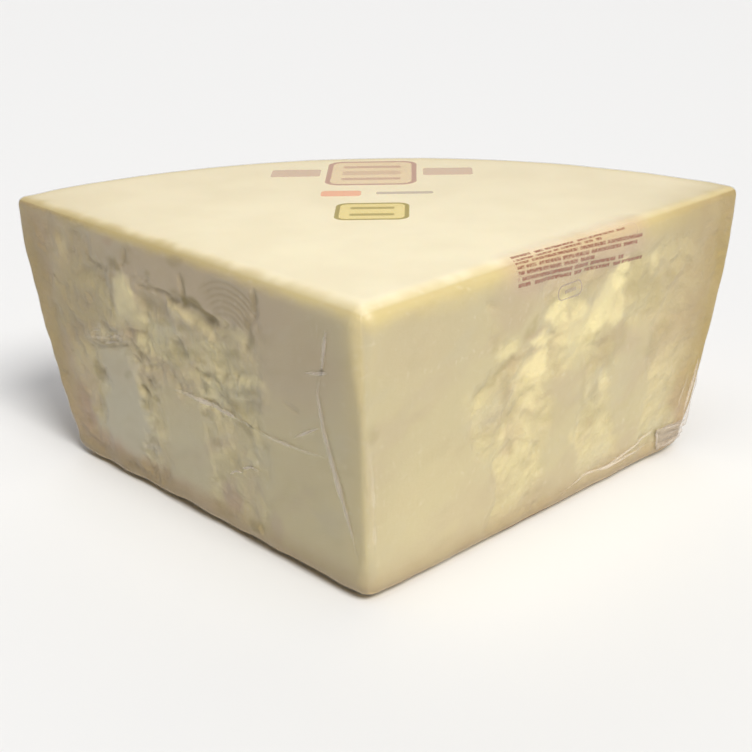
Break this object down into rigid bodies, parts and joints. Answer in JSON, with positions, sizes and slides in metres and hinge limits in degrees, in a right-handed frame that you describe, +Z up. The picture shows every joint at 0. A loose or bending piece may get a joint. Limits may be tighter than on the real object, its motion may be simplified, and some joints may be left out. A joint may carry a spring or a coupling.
{
  "type": "vacuum-packed hard cheese wedge",
  "caption": "Wedge of hard granular cheese cut from a halved wheel and vacuum-packed in clear printed film, with broken cut faces, a pale level top and a bulging rind.",
  "frame": {"origin": "middle of the foot's bounding rectangle, on the surface that the wedge stands on", "axes": "+X across the wedge from rind corner to rind corner, +Y from the front edge to the rind, +Z up"},
  "size_m": [0.3074, 0.2182, 0.111],
  "materials": {
    "cheese": "waxy cream paste with straw-yellow breaks, under clear film",
    "film": "clear vacuum film with white folds and a plain print"
  },
  "bodies": {
    "root": {"cheese_chunk": "cheese"}
  },
  "joints": []
}
